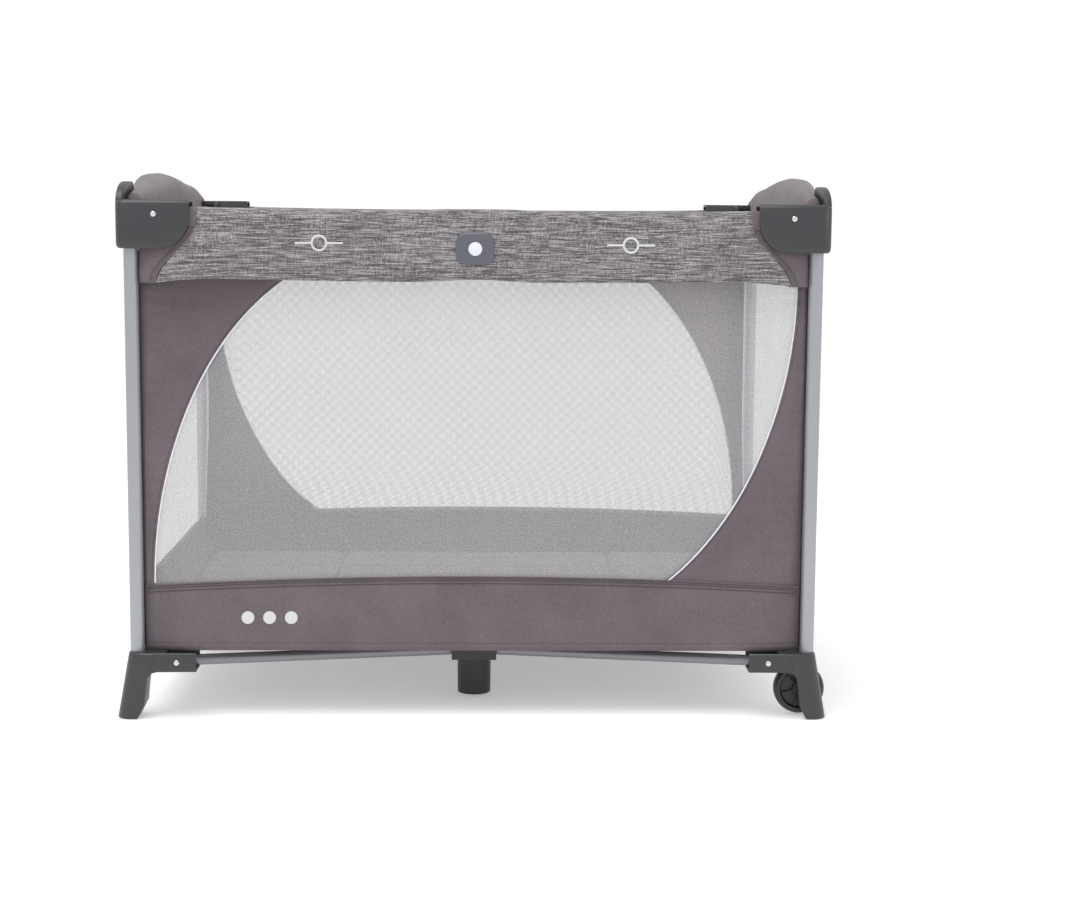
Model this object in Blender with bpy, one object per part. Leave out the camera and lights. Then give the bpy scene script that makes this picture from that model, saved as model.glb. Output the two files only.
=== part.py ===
"""Folding travel cot: four corner posts, hinged top rails, a folding floor frame and fabric.

The frame is a closed linkage. Every tube that folds spans FOLD_X along the length or
FOLD_Y along the width between its pivots, so all of them turn through the same angle.
Left is -X, front is -Y. A corner piece is modelled at the back right and mirrored.
"""

import math

import bmesh
import bpy
from mathutils import Matrix, Vector

# Driving dimensions, in metres
CAP_X = 0.518  # outer faces of the corner caps
CAP_Y = 0.367
CAP_TOP = 0.764
CAP_BOTTOM = 0.694
WALL = 0.0035  # moulded plastic
LEG_X = 0.4987  # leg axis
LEG_Y = 0.345
LEG_R = 0.0105
SOCKET_R = 0.011
LEG_LOW = 0.085
LEG_HIGH = 0.754
FOLD_X = 0.427  # pivot to pivot, along the length
FOLD_Y = 0.270  # pivot to pivot, along the width
RAIL_R = 0.0085
RAIL_Z = 0.741
RAIL_PIVOT_X = 0.462
END_Z = 0.760
END_PIVOT_Y = 0.300
END_RISE = 0.016
STUB = 0.004  # tube past its pivot
FLOOR_R = 0.008
FLOOR_Z = 0.0835
FOOT_PIVOT = (0.439, 0.340)
HUB_PIVOT = (FOOT_PIVOT[0] - FOLD_X, 0.262)
CROSS_OUT = 0.232
CROSS_IN = 0.040
WHEEL_R = 0.038
WHEEL_X = 0.4905
WHEEL_Z = 0.0405
FABRIC_LOW = 0.101
FABRIC_HIGH = 0.690
MAT_LOW = 0.104
MAT_HIGH = 0.134
MAT_X = 0.474
MAT_Y = 0.325
GAP = 0.0003

PLASTIC = (0.075, 0.077, 0.085, 1), 0.45, 0.0
METAL = (0.55, 0.56, 0.58, 1), 0.35, 0.9
STEEL = (0.30, 0.31, 0.33, 1), 0.40, 0.9
RUBBER = (0.02, 0.02, 0.022, 1), 0.80, 0.0
FABRIC = (0.115, 0.100, 0.105, 1), 0.90, 0.0
WOVEN = (0.20, 0.19, 0.195, 1), 0.95, 0.0

for old in list(bpy.data.objects):
    bpy.data.objects.remove(old, do_unlink=True)
parts = bpy.data.collections.new("travel_cot")
bpy.context.scene.collection.children.link(parts)


def shown(name, mesh, finish):
    """A named part with its own material."""
    obj = bpy.data.objects.new(name, mesh)
    parts.objects.link(obj)
    colour, roughness, metallic = finish
    material = bpy.data.materials.new(name)
    material.use_nodes = True
    shader = material.node_tree.nodes["Principled BSDF"]
    shader.inputs["Base Color"].default_value = colour
    shader.inputs["Roughness"].default_value = roughness
    shader.inputs["Metallic"].default_value = metallic
    mesh.materials.clear()
    mesh.materials.append(material)
    return obj


def box(x, y, z):
    """A block between two limits on each axis."""
    work = bmesh.new()
    bmesh.ops.create_cube(work, size=1)
    size = Matrix.Diagonal((x[1] - x[0], y[1] - y[0], z[1] - z[0], 1))
    middle = Matrix.Translation((sum(x) / 2, sum(y) / 2, sum(z) / 2))
    work.transform(middle @ size)
    return as_mesh(work)


def rod(start, end, radius, sides=16, end_radius=None):
    """A round bar between two points."""
    start, end = Vector(start), Vector(end)
    work = bmesh.new()
    bmesh.ops.create_cone(work, cap_ends=True, segments=sides, depth=(end - start).length,
                          radius1=radius, radius2=end_radius or radius)
    turn = (end - start).to_track_quat("Z", "Y").to_matrix().to_4x4()
    work.transform(Matrix.Translation((start + end) / 2) @ turn)
    return as_mesh(work)


def as_mesh(work):
    mesh = bpy.data.meshes.new("piece")
    work.to_mesh(mesh)
    work.free()
    return mesh


def plate(outline, plane, low, high):
    """A flat outline in the XZ or YZ plane, thick from low to high along the third axis."""
    curve = bpy.data.curves.new("outline", "CURVE")
    curve.dimensions = "2D"
    curve.fill_mode = "BOTH"
    curve.extrude = (high - low) / 2
    spline = curve.splines.new("POLY")
    spline.points.add(len(outline) - 1)
    spline.use_cyclic_u = True
    for point, (u, v) in zip(spline.points, outline):
        point.co = (u, v, 0, 1)
    middle = (low + high) / 2
    if plane == "XZ":
        place = Matrix(((1, 0, 0, 0), (0, 0, -1, middle), (0, 1, 0, 0), (0, 0, 0, 1)))
    else:
        place = Matrix(((0, 0, 1, middle), (1, 0, 0, 0), (0, 1, 0, 0), (0, 0, 0, 1)))
    mesh = mesh_of(curve)
    mesh.transform(place)
    return mesh


def mesh_of(curve):
    """The closed mesh of a curve, with its loose caps welded on."""
    guide = bpy.data.objects.new("guide", curve)
    bpy.context.scene.collection.objects.link(guide)
    bpy.context.view_layer.update()
    seen = guide.evaluated_get(bpy.context.evaluated_depsgraph_get())
    mesh = bpy.data.meshes.new_from_object(seen)
    bpy.data.objects.remove(guide, do_unlink=True)
    work = bmesh.new()
    work.from_mesh(mesh)
    bmesh.ops.remove_doubles(work, verts=work.verts, dist=0.00001)
    bmesh.ops.recalc_face_normals(work, faces=work.faces)
    return as_mesh(work)


def shape(body, joined=(), cut=()):
    """One solid: the body with other meshes joined to it and then cutters taken out."""
    obj = bpy.data.objects.new("body", body)
    bpy.context.scene.collection.objects.link(obj)
    tools = []
    for operation, meshes in (("UNION", joined), ("DIFFERENCE", cut)):
        for mesh in meshes:
            tool = bpy.data.objects.new("tool", mesh)
            bpy.context.scene.collection.objects.link(tool)
            tools.append(tool)
            boolean = obj.modifiers.new(operation, "BOOLEAN")
            boolean.operation = operation
            boolean.object = tool
    bpy.context.view_layer.update()
    mesh = bpy.data.meshes.new_from_object(
        obj.evaluated_get(bpy.context.evaluated_depsgraph_get()))
    for used in tools + [obj]:
        bpy.data.objects.remove(used, do_unlink=True)
    return mesh


def mirrored(mesh, side, end):
    """A copy of a back right piece for the side (-1 left) and end (-1 front) given."""
    work = bmesh.new()
    work.from_mesh(mesh)
    work.transform(Matrix.Diagonal((side, end, 1, 1)))
    if side * end < 0:
        bmesh.ops.reverse_faces(work, faces=work.faces)
    return as_mesh(work)


def arc(centre, radius, start, stop, steps):
    """Points on a circle, with angles in degrees."""
    turn = [math.radians(start + (stop - start) * i / steps) for i in range(steps + 1)]
    return [(centre[0] + radius * math.cos(a), centre[1] + radius * math.sin(a)) for a in turn]


def hang(objects, name, place):
    """Parent the pieces of a moving body to an empty on its joint's axis."""
    pivot = bpy.data.objects.new(name + "_pivot", None)
    pivot.location = place
    parts.objects.link(pivot)
    bpy.context.view_layer.update()
    for obj in objects:
        obj.parent = pivot
        obj.matrix_parent_inverse = pivot.matrix_world.inverted()


def corner_cap():
    """Moulded corner: two channels, open below, for the folding rails, and a leg socket."""
    long_arm = plate(
        [(CAP_X, CAP_BOTTOM + 0.005), (CAP_X - 0.005, CAP_BOTTOM)]
        + arc((0.4565, CAP_BOTTOM + 0.045), 0.045, -90, -180, 6)
        + [(0.4115, CAP_TOP), (CAP_X - 0.003, CAP_TOP), (CAP_X, CAP_TOP - 0.003)],
        "XZ", 0.323, CAP_Y)
    top_slope = [(0.2595, 0.792), (0.340, CAP_TOP)]
    short_arm = plate(
        [(CAP_Y, CAP_BOTTOM)] + arc((0.3045, CAP_BOTTOM + 0.045), 0.045, -90, -180, 6)
        + top_slope + [(CAP_Y, CAP_TOP)],
        "YZ", 0.4595, CAP_X)
    long_channel = box((0.38, 0.4805), (0.3265, CAP_Y - WALL), (0.66, CAP_TOP - WALL))
    short_channel = plate([(0.2, 0.66), (0.3295, 0.66), (0.3295, 0.7642), (0.2, 0.8092)],
                          "YZ", 0.463, CAP_X - WALL)
    socket = rod((LEG_X, LEG_Y, 0.6), (LEG_X, LEG_Y, LEG_HIGH + 0.0005), SOCKET_R, 24)
    return shape(long_arm, [short_arm], [long_channel, short_channel, socket])


def foot(wheeled):
    """Splayed foot with a leg socket above and a slot for the floor tube."""
    body = plate(
        [(0.5285, 0), (0.498, 0), (0.4875, 0.0206), (0.485, 0.046), (0.4825, 0.062),
         (0.4765, 0.0690), (0.4676, 0.0711), (0.410, 0.0715), (0.410, 0.0996),
         (0.5105, 0.0996)][::-1],
        "XZ", 0.3225, CAP_Y)
    cuts = [box((0.38, 0.455), (0.3255, CAP_Y - WALL), (FLOOR_Z - 0.009, 0.15)),
            rod((LEG_X, LEG_Y, LEG_LOW - 0.0005), (LEG_X, LEG_Y, 0.15), SOCKET_R, 24)]
    if wheeled:
        cuts.append(box((0.44, 0.56), (0.30, 0.3453), (-0.01, 0.0805)))
    return shape(body, [], cuts)


def wheel():
    """Solid wheel with a bevelled tread and a bore for its axle."""
    outline = [(0.0043, -0.011), (0.034, -0.011), (WHEEL_R, -0.007), (WHEEL_R, 0.007),
               (0.034, 0.011), (0.0043, 0.011)]
    work = bmesh.new()
    sides = 32
    rings = []
    for i in range(sides):
        a = 2 * math.pi * i / sides
        rings.append([work.verts.new((WHEEL_X + r * math.cos(a), 0.330 + y,
                                      WHEEL_Z + r * math.sin(a))) for r, y in outline])
    for i in range(sides):
        near, far = rings[i], rings[(i + 1) % sides]
        for k in range(len(outline)):
            n = (k + 1) % len(outline)
            work.faces.new((near[k], near[n], far[n], far[k]))
    bmesh.ops.recalc_face_normals(work, faces=work.faces)
    return as_mesh(work)


def housing(along, across, height, core):
    """Latch housing at a rail's middle: a tray open above, with a pocket for its button."""
    def block(a, c, z):
        x, y = ((a, c) if along == "X" else (c, a))
        return box(x, y, (height + z[0], height + z[1]))
    near, far = across - 0.0125, across + 0.0125
    tray = block((-0.048, 0.048), (near, far), (-0.0135, 0.0065))
    slots = [block(ends, (near + 0.003, far - 0.003), (-0.0105, 0.02))
             for ends in ((core, 0.06), (-0.06, -core))]
    pocket = block((-0.0145, 0.0145), (across - 0.0075, across + 0.0075), (-0.03, -0.002))
    return shape(tray, [], slots + [pocket])


def button(along, across, height):
    """Squeeze button in the housing's pocket."""
    a, c = (-0.014, 0.014), (across - 0.007, across + 0.007)
    x, y = ((a, c) if along == "X" else (c, a))
    return box(x, y, (height - 0.0165, height - 0.0065))


def end_rail():
    """Half of the bowed end rail, between its pivots and a little past each."""
    low, high = END_PIVOT_Y - FOLD_Y - STUB, END_PIVOT_Y + STUB
    curve = bpy.data.curves.new("end_rail", "CURVE")
    curve.dimensions = "3D"
    curve.bevel_depth = RAIL_R
    curve.bevel_resolution = 4
    curve.use_fill_caps = True
    spline = curve.splines.new("POLY")
    steps = 10
    spline.points.add(steps)
    for i, point in enumerate(spline.points):
        t = i / steps
        bow = END_RISE * 4 * t * (1 - t)
        point.co = (LEG_X, low + (high - low) * t, END_Z + bow, 1)
    return mesh_of(curve)


def long_cover():
    """Half of the woven cover over a long rail: a channel that hangs over the tube."""
    outline = [(0.361, 0.648), (0.361, 0.748), (0.3575, 0.7535), (0.3325, 0.7535),
               (0.329, 0.748), (0.329, 0.660), (0.3315, 0.660), (0.3315, 0.7465),
               (0.3335, 0.751), (0.3565, 0.751), (0.3585, 0.7465), (0.3585, 0.648)]
    return plate(outline, "YZ", GAP, 0.4105)


def end_cover():
    """Half of the padded cover over an end rail, arched along its top."""
    def crest(y, drop):
        return 0.807 - 0.28 * y * y - drop
    near, far, steps = GAP, 0.2585, 6
    tops = [near + (far - near) * i / steps for i in range(steps + 1)]
    outer = plate([(near, 0.66)] + [(y, crest(y, 0)) for y in tops] + [(far, 0.66)],
                  "YZ", 0.461, 0.517)
    reach = [-0.05 + 0.4 * i / steps for i in range(steps + 1)]
    inner = plate([(-0.05, 0.5)] + [(y, crest(y, 0.010)) for y in reach] + [(0.35, 0.5)],
                  "YZ", 0.465, 0.513)
    return shape(outer, [], [inner])


def side_hub():
    """Hub under a long side: two floor tubes swing down from it and one swings up."""
    near, far = HUB_PIVOT[1] - 0.0115, HUB_PIVOT[1] + 0.0175
    body = box((-0.034, 0.034), (near, far), (0.070, 0.098))
    neck = box((-0.0125, 0.0125), (0.212, near + 0.0055), (0.0705, 0.0938))
    leg = rod((0, 0.224, 0.008), (0, 0.224, 0.0717), 0.0255, 24, 0.026)
    slots = [box(ends, (near + 0.003, far - 0.003), (0.05, 0.094))
             for ends in ((0.0022, 0.05), (-0.05, -0.0022))]
    channel = box((-0.0095, 0.0095), (0.20, 0.2480), (0.073, 0.12))
    return shape(body, [neck, leg], slots + [channel])


def centre_hub():
    """Middle hub that the strap lifts: the cross tubes swing down from it."""
    disc = rod((0, 0, 0.094), (0, 0, 0.0985), 0.045, 32)
    body = box((-0.0125, 0.0125), (-0.06, 0.06), (0.073, 0.097))
    channels = [box((-0.0095, 0.0095), ends, (0.06, 0.094))
                for ends in ((0.03, 0.08), (-0.08, -0.03))]
    return shape(body, [disc], channels)


def pull_strap():
    """Webbing that comes up between the mattress panels and lies on the mattress."""
    high = MAT_HIGH + 0.0015
    outline = [(-0.001, 0.0988), (0.001, 0.0988), (0.001, high), (0.09, high),
               (0.09, high + 0.004), (-0.001, high + 0.004)]
    return plate(outline, "XZ", -0.012, 0.012)


SIDES = {"left": -1, "right": 1}
ENDS = {"front": -1, "back": 1}
cap_mesh = corner_cap()
feet = {"left": foot(False), "right": foot(True)}
tube_turn = Vector((HUB_PIVOT[0] - FOOT_PIVOT[0], HUB_PIVOT[1] - FOOT_PIVOT[1], 0)).normalized()
foot_point = Vector((*FOOT_PIVOT, FLOOR_Z))
hub_point = Vector((*HUB_PIVOT, FLOOR_Z))
floor_tube = rod(foot_point - tube_turn * STUB, hub_point + tube_turn * STUB, FLOOR_R)
long_rail = rod((RAIL_PIVOT_X - FOLD_X - STUB, LEG_Y, RAIL_Z),
                (RAIL_PIVOT_X + STUB, LEG_Y, RAIL_Z), RAIL_R)
end_rail_mesh = end_rail()
long_cover_mesh = long_cover()
end_cover_mesh = end_cover()
leg_mesh = rod((LEG_X, LEG_Y, LEG_LOW), (LEG_X, LEG_Y, LEG_HIGH), LEG_R, 20)

for end, front_back in ENDS.items():
    for side, left_right in SIDES.items():
        corner = f"{end}_{side}"

        def at(x, y, z):
            return (x * left_right, y * front_back, z)

        def add(name, mesh, finish):
            return shown(f"{name}_{corner}", mirrored(mesh, left_right, front_back), finish)

        hang([add("leg", leg_mesh, METAL), add("cap", cap_mesh, PLASTIC),
              add("foot", feet[side], PLASTIC)], f"post_{corner}", at(*foot_point))
        hang([add("floor_tube", floor_tube, STEEL)], f"floor_tube_{corner}", at(*foot_point))
        hang([add("long_rail", long_rail, STEEL), add("long_cover", long_cover_mesh, WOVEN)],
             f"long_rail_{corner}", at(RAIL_PIVOT_X, LEG_Y, RAIL_Z))
        hang([add("end_rail", end_rail_mesh, STEEL), add("end_cover", end_cover_mesh, FABRIC)],
             f"end_rail_{corner}", at(LEG_X, END_PIVOT_Y, END_Z))

    wheel_centre = (WHEEL_X, 0.330 * front_back, WHEEL_Z)
    turning = shown(f"wheel_{end}", mirrored(wheel(), 1, front_back), RUBBER)
    hang([turning], f"wheel_{end}", wheel_centre)
    axle = rod((WHEEL_X, 0.316, WHEEL_Z), (WHEEL_X, 0.3450, WHEEL_Z), 0.004)
    shown(f"axle_{end}", mirrored(axle, 1, front_back), STEEL)

    hub = shown(f"side_hub_{end}", mirrored(side_hub(), 1, front_back), PLASTIC)
    hang([hub], f"side_hub_{end}", (0, 0.262 * front_back, FLOOR_Z))
    cross = rod((0, CROSS_IN - STUB, FLOOR_Z), (0, CROSS_OUT + STUB, FLOOR_Z), FLOOR_R)
    bar = shown(f"cross_tube_{end}", mirrored(cross, 1, front_back), STEEL)
    hang([bar], f"cross_tube_{end}", (0, CROSS_OUT * front_back, FLOOR_Z))

    middle = (0, LEG_Y * front_back, RAIL_Z)
    badge = box((-0.0275, 0.0275), (0.3614, 0.3644), (0.674, 0.7196))
    tray = mirrored(housing("X", LEG_Y, RAIL_Z, 0.022), 1, front_back)
    hang([shown(f"rail_housing_{end}", tray, PLASTIC),
          shown(f"badge_{end}", mirrored(badge, 1, front_back), PLASTIC)],
         f"rail_housing_{end}", middle)
    squeeze = mirrored(button("X", LEG_Y, RAIL_Z), 1, front_back)
    hang([shown(f"rail_button_{end}", squeeze, RUBBER)], f"rail_button_{end}", middle)
    wall = box((-0.4865, 0.4865), (0.3375, 0.3405), (FABRIC_LOW, FABRIC_HIGH))
    shown(f"wall_{end}", mirrored(wall, 1, front_back), FABRIC)

for side, left_right in SIDES.items():
    middle = (LEG_X * left_right, 0, END_Z)
    tray = mirrored(housing("Y", LEG_X, END_Z, 0.0185), left_right, 1)
    hang([shown(f"rail_housing_{side}", tray, PLASTIC)], f"rail_housing_{side}", middle)
    squeeze = mirrored(button("Y", LEG_X, END_Z), left_right, 1)
    hang([shown(f"rail_button_{side}", squeeze, RUBBER)], f"rail_button_{side}", middle)
    wall = box((0.489, 0.492), (-0.333, 0.333), (FABRIC_LOW, FABRIC_HIGH))
    shown(f"wall_{side}", mirrored(wall, left_right, 1), FABRIC)
    inner_panel = box((0.0018, MAT_X / 2), (-MAT_Y, MAT_Y), (MAT_LOW, MAT_HIGH))
    outer_panel = box((MAT_X / 2 + 0.001, MAT_X), (-MAT_Y, MAT_Y), (MAT_LOW, MAT_HIGH))
    seam = (MAT_LOW + MAT_HIGH) / 2
    hang([shown(f"mattress_inner_{side}", mirrored(inner_panel, left_right, 1), FABRIC)],
         f"mattress_inner_{side}", (0, 0, seam))
    hang([shown(f"mattress_outer_{side}", mirrored(outer_panel, left_right, 1), FABRIC)],
         f"mattress_outer_{side}", (MAT_X / 2 * left_right, 0, seam))

hang([shown("centre_hub", centre_hub(), PLASTIC), shown("pull_strap", pull_strap(), FABRIC)],
     "centre_hub", (0, CROSS_IN, FLOOR_Z))
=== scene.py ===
"""Folding travel cot: moulded corners and feet, silver posts, sewn fabric sides with net
windows, woven rail covers, a hinged floor frame and a four panel mattress.
Left is -X, front is -Y. Corner names run end first, then side, such as front_left.
"""

import math

import bmesh
import bpy
from mathutils import Matrix, Quaternion, Vector, noise


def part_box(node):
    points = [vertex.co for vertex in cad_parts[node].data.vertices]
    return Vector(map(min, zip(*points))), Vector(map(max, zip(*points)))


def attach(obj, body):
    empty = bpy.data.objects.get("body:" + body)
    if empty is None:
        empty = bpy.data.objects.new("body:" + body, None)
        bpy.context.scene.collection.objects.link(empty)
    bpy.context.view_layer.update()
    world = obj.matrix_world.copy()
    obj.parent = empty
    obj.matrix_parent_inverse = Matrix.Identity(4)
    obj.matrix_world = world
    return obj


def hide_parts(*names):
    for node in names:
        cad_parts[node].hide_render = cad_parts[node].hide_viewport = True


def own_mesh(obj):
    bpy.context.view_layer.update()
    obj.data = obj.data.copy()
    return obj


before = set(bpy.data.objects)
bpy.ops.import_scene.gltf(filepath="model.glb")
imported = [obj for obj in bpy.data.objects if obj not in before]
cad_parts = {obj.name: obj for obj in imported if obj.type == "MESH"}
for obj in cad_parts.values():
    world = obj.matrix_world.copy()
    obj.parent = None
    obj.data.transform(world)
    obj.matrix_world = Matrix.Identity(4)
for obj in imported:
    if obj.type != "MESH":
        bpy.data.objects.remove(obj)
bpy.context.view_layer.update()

# ---------------------------------------------------------------- the room
# The cot stands on a white studio floor under a wide, soft light. The camera looks along the
# length from the front, a little above the rails and a few degrees down.
stage_scene = bpy.context.scene
stage_scene.view_settings.view_transform = "Standard"
world = bpy.data.worlds.new("studio")
stage_scene.world = world
world.use_nodes = True
sky = world.node_tree.nodes["Background"]
sky.inputs["Color"].default_value = (1, 1, 1, 1)
seen_by = world.node_tree.nodes.new("ShaderNodeLightPath")
sky_level = world.node_tree.nodes.new("ShaderNodeMapRange")
sky_level.inputs["To Min"].default_value = 0.86
sky_level.inputs["To Max"].default_value = 1.02
world.node_tree.links.new(seen_by.outputs["Is Camera Ray"], sky_level.inputs["Value"])
world.node_tree.links.new(sky_level.outputs["Result"], sky.inputs["Strength"])

camera = bpy.data.objects.new("camera", bpy.data.cameras.new("camera"))
stage_scene.collection.objects.link(camera)
camera.data.lens = 64.35
camera.data.sensor_width = 36.0
camera.location = (0.0132, -3.169, 0.7572)
camera_turn = math.radians(1.688)
camera_down = math.radians(7.163)
camera_roll = math.radians(0.470)
looking = Vector((math.sin(camera_turn) * math.cos(camera_down),
                  math.cos(camera_turn) * math.cos(camera_down), -math.sin(camera_down)))
camera.rotation_mode = "QUATERNION"
camera.rotation_quaternion = (looking.to_track_quat("-Z", "Y")
                              @ Quaternion((0, 0, 1), camera_roll))
stage_scene.camera = camera


def studio_light(name, place, target, size, power):
    lamp = bpy.data.objects.new(name, bpy.data.lights.new(name, "AREA"))
    lamp.data.shape = "DISK"
    lamp.data.size = size
    lamp.data.energy = power
    lamp.location = place
    lamp.rotation_euler = (Vector(target) - Vector(place)).to_track_quat("-Z", "Y").to_euler()
    stage_scene.collection.objects.link(lamp)


studio_light("overhead", (-0.8, -1.2, 3.2), (0, 0, 0.4), 2.4, 58)
studio_light("side_fill", (2.6, -1.6, 1.6), (0.2, 0, 0.4), 1.6, 10)

bpy.ops.mesh.primitive_plane_add(size=40, location=(0, 0, -0.0005))
floor = bpy.context.object
floor.name = "studio_floor"
floor_paint = bpy.data.materials.new("floor_paint")
floor_paint.use_nodes = True
floor_shader = floor_paint.node_tree.nodes["Principled BSDF"]
floor_shader.inputs["Base Color"].default_value = (0.80, 0.80, 0.80, 1)
floor_shader.inputs["Roughness"].default_value = 0.8
floor_shader.inputs["Emission Color"].default_value = (1, 1, 1, 1)
floor_shader.inputs["Emission Strength"].default_value = 0.34
floor.data.materials.append(floor_paint)

# ---------------------------------------------------------------- the four posts
# Each post is a round steel tube, 21 mm across, powder coated in satin silver. It stands in
# the moulded foot and goes up into the corner cap.
CORNERS = [(end, side) for end in ("front", "back") for side in ("left", "right")]
SIDE_SIGN = {"left": -1, "right": 1}
END_SIGN = {"front": -1, "back": 1}


def node_of(tree, kind, links=(), **settings):
    """A shader node with its values and its links from other sockets."""
    made = tree.nodes.new(kind)
    for key, value in settings.items():
        if hasattr(made, key):
            setattr(made, key, value)
    for key, value in links:
        if isinstance(value, bpy.types.NodeSocket):
            tree.links.new(value, made.inputs[key])
        else:
            made.inputs[key].default_value = value
    return made


def node_group(name, inputs, outputs):
    """An empty node group with its named sockets, and its input and output nodes."""
    group = bpy.data.node_groups.new(name, "ShaderNodeTree")
    for label, kind, value in inputs:
        socket = group.interface.new_socket(label, in_out="INPUT", socket_type=kind)
        socket.default_value = value
    for label, kind in outputs:
        group.interface.new_socket(label, in_out="OUTPUT", socket_type=kind)
    return group, group.nodes.new("NodeGroupInput"), group.nodes.new("NodeGroupOutput")


# fine unevenness of a coated or moulded surface, with a slow drift of its colour
FLOAT, COLOUR = "NodeSocketFloat", "NodeSocketColor"
grain, grain_in, grain_out = node_group(
    "surface_grain",
    [("Colour", COLOUR, (0.5, 0.5, 0.5, 1)), ("Scale", FLOAT, 900), ("Drift", FLOAT, 0.08),
     ("Roughness", FLOAT, 0.5)],
    [("Colour", COLOUR), ("Roughness", FLOAT), ("Height", FLOAT)])
place = node_of(grain, "ShaderNodeTexCoord").outputs["Object"]
pits = node_of(grain, "ShaderNodeTexNoise", [("Vector", place), ("Scale", grain_in.outputs["Scale"]),
                                             ("Detail", 2.0)])
clouds = node_of(grain, "ShaderNodeTexNoise", [("Vector", place), ("Scale", 9.0), ("Detail", 3.0)])
shift = node_of(grain, "ShaderNodeMath", [(0, clouds.outputs["Fac"]), (1, 0.5)],
                operation="SUBTRACT")
drift = node_of(grain, "ShaderNodeMath", [(0, shift.outputs[0]), (1, grain_in.outputs["Drift"])],
                operation="MULTIPLY")
level = node_of(grain, "ShaderNodeMath", [(0, drift.outputs[0]), (1, 1.0)], operation="ADD")
tinted = node_of(grain, "ShaderNodeVectorMath",
                 [(0, grain_in.outputs["Colour"]), ("Scale", level.outputs[0])],
                 operation="SCALE")
rough = node_of(grain, "ShaderNodeMath",
                [(0, drift.outputs[0]), (1, grain_in.outputs["Roughness"])], operation="ADD")
grain.links.new(tinted.outputs[0], grain_out.inputs["Colour"])
grain.links.new(rough.outputs[0], grain_out.inputs["Roughness"])
grain.links.new(pits.outputs["Fac"], grain_out.inputs["Height"])


def grained_finish(name, colour, roughness, metallic=0.0, scale=900.0, drift=0.1, bump=0.08):
    """A coated, moulded or plated surface with the grain above."""
    finish = bpy.data.materials.new(name)
    finish.use_nodes = True
    tree = finish.node_tree
    shader = tree.nodes["Principled BSDF"]
    surface = tree.nodes.new("ShaderNodeGroup")
    surface.node_tree = grain
    surface.inputs["Colour"].default_value = (*colour, 1)
    surface.inputs["Scale"].default_value = scale
    surface.inputs["Drift"].default_value = drift
    surface.inputs["Roughness"].default_value = roughness
    relief = node_of(tree, "ShaderNodeBump", [("Strength", bump), ("Distance", 0.0004),
                                              ("Height", surface.outputs["Height"])])
    tree.links.new(surface.outputs["Colour"], shader.inputs["Base Color"])
    tree.links.new(surface.outputs["Roughness"], shader.inputs["Roughness"])
    tree.links.new(relief.outputs["Normal"], shader.inputs["Normal"])
    shader.inputs["Metallic"].default_value = metallic
    return finish


def piece(name, work, finish):
    """A named object from a bmesh, shaded smooth across shallow edges."""
    mesh = bpy.data.meshes.new(name)
    work.to_mesh(mesh)
    work.free()
    made = bpy.data.objects.new(name, mesh)
    stage_scene.collection.objects.link(made)
    mesh.shade_smooth()
    mesh.set_sharp_from_angle(angle=math.radians(38))
    mesh.materials.append(finish)
    return made


def turned(name, start, end, profile, finish, sides=40):
    """A round piece on the line from start to end. The profile gives (height, radius)."""
    start, end = Vector(start), Vector(end)
    turn = (end - start).to_track_quat("Z", "Y")
    work = bmesh.new()
    rings = []
    for height, radius in profile:
        if radius == 0:
            rings.append([work.verts.new(start + turn @ Vector((0, 0, height)))])
            continue
        ring = []
        for i in range(sides):
            angle = 2 * math.pi * i / sides
            spot = Vector((radius * math.cos(angle), radius * math.sin(angle), height))
            ring.append(work.verts.new(start + turn @ spot))
        rings.append(ring)
    for low, high in zip(rings, rings[1:]):
        for i in range(sides):
            n = (i + 1) % sides
            if len(low) == 1:
                work.faces.new((low[0], high[n], high[i]))
            elif len(high) == 1:
                work.faces.new((low[i], low[n], high[0]))
            else:
                work.faces.new((low[i], low[n], high[n], high[i]))
    bmesh.ops.recalc_face_normals(work, faces=work.faces)
    return piece(name, work, finish)


silver_coat = grained_finish("silver_coat", (0.34, 0.35, 0.375), 0.34, metallic=0.55, bump=0.05)
for end, side in CORNERS:
    corner = f"{end}_{side}"
    low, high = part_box(f"leg_{corner}")
    middle = (low + high) / 2
    radius = (high.x - low.x) / 2
    height = high.z - low.z
    post = turned(f"post_tube_{corner}", (middle.x, middle.y, low.z), (middle.x, middle.y, high.z),
                  [(0, 0), (0, radius), (height, radius), (height, 0)], silver_coat, 56)
    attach(post, f"post_{corner}")
    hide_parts(f"leg_{corner}")

# ---------------------------------------------------------------- corner caps and feet
# The caps, feet, hubs and latch housings are moulded in dark grey nylon with softly rounded
# edges. Domed steel rivets pass through the caps and feet and are the pivots of the tubes.
dark_nylon = grained_finish("dark_nylon", (0.033, 0.034, 0.038), 0.38, scale=1400.0, bump=0.10)
black_nylon = grained_finish("black_nylon", (0.017, 0.017, 0.019), 0.40, scale=1200.0)
rivet_steel = grained_finish("rivet_steel", (0.62, 0.62, 0.64), 0.28, metallic=1.0, bump=0.03)


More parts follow.
